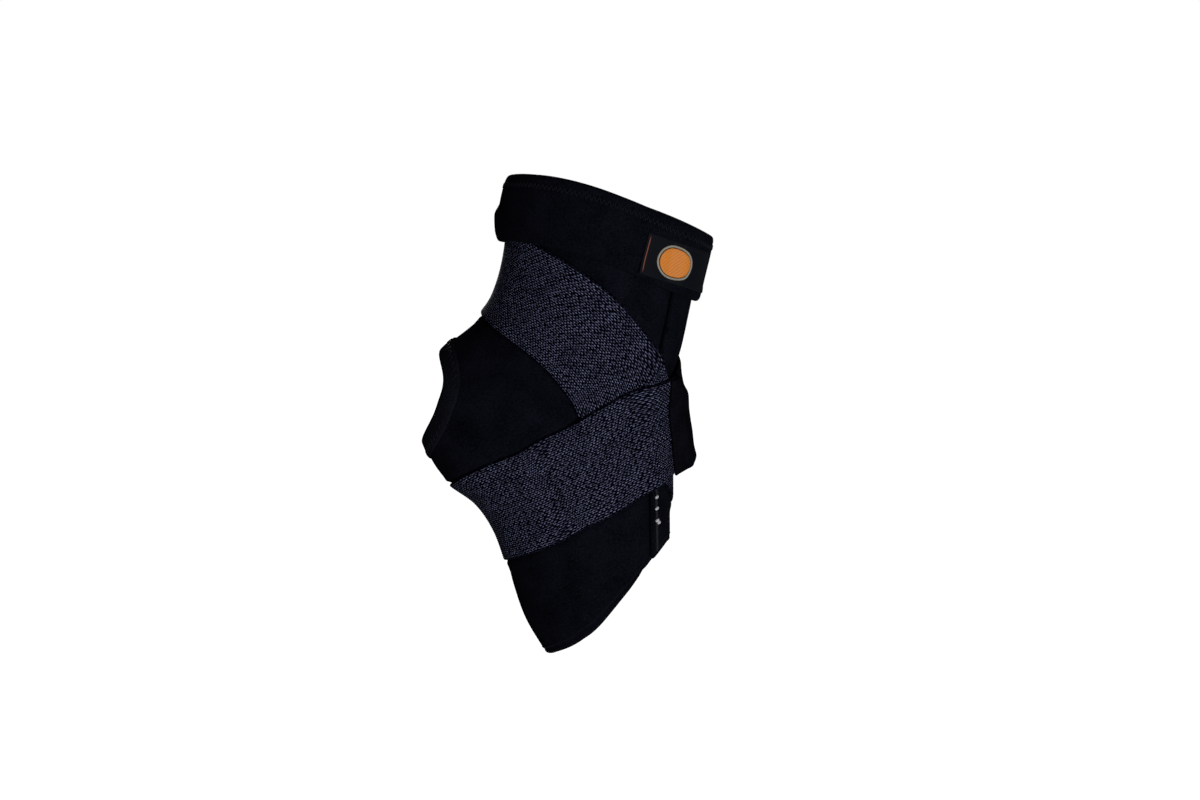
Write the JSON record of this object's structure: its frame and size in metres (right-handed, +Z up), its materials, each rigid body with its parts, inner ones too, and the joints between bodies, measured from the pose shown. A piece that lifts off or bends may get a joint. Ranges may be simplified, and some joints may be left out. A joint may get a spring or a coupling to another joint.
{
  "type": "ankle brace",
  "caption": "Worn ankle brace: plush-faced neoprene wrap with an open heel, a top cuff, two elastic straps crossing over the instep and a hook tab.",
  "frame": {"origin": "middle of the ankle joint of the wearer's right foot, inside the hollow of the brace", "axes": "+Z up the leg, +X forward towards the toes, +Y towards the inner side of the ankle"},
  "size_m": [0.1552, 0.1019, 0.251],
  "materials": {
    "plush": "matte brushed plush on neoprene",
    "tape": "matte woven tape",
    "elastic": "ribbed knit elastic",
    "woven_label": "fine satin weave",
    "orange_thread": "embroidery thread"
  },
  "bodies": {
    "root": {"neoprene_wrap": "plush", "heel_hem": "tape", "inner_strap": "elastic", "outer_strap": "elastic", "strap_tab": "tape", "top_cuff": "plush", "label": "woven_label", "label_emblem": "orange_thread"}
  },
  "joints": []
}
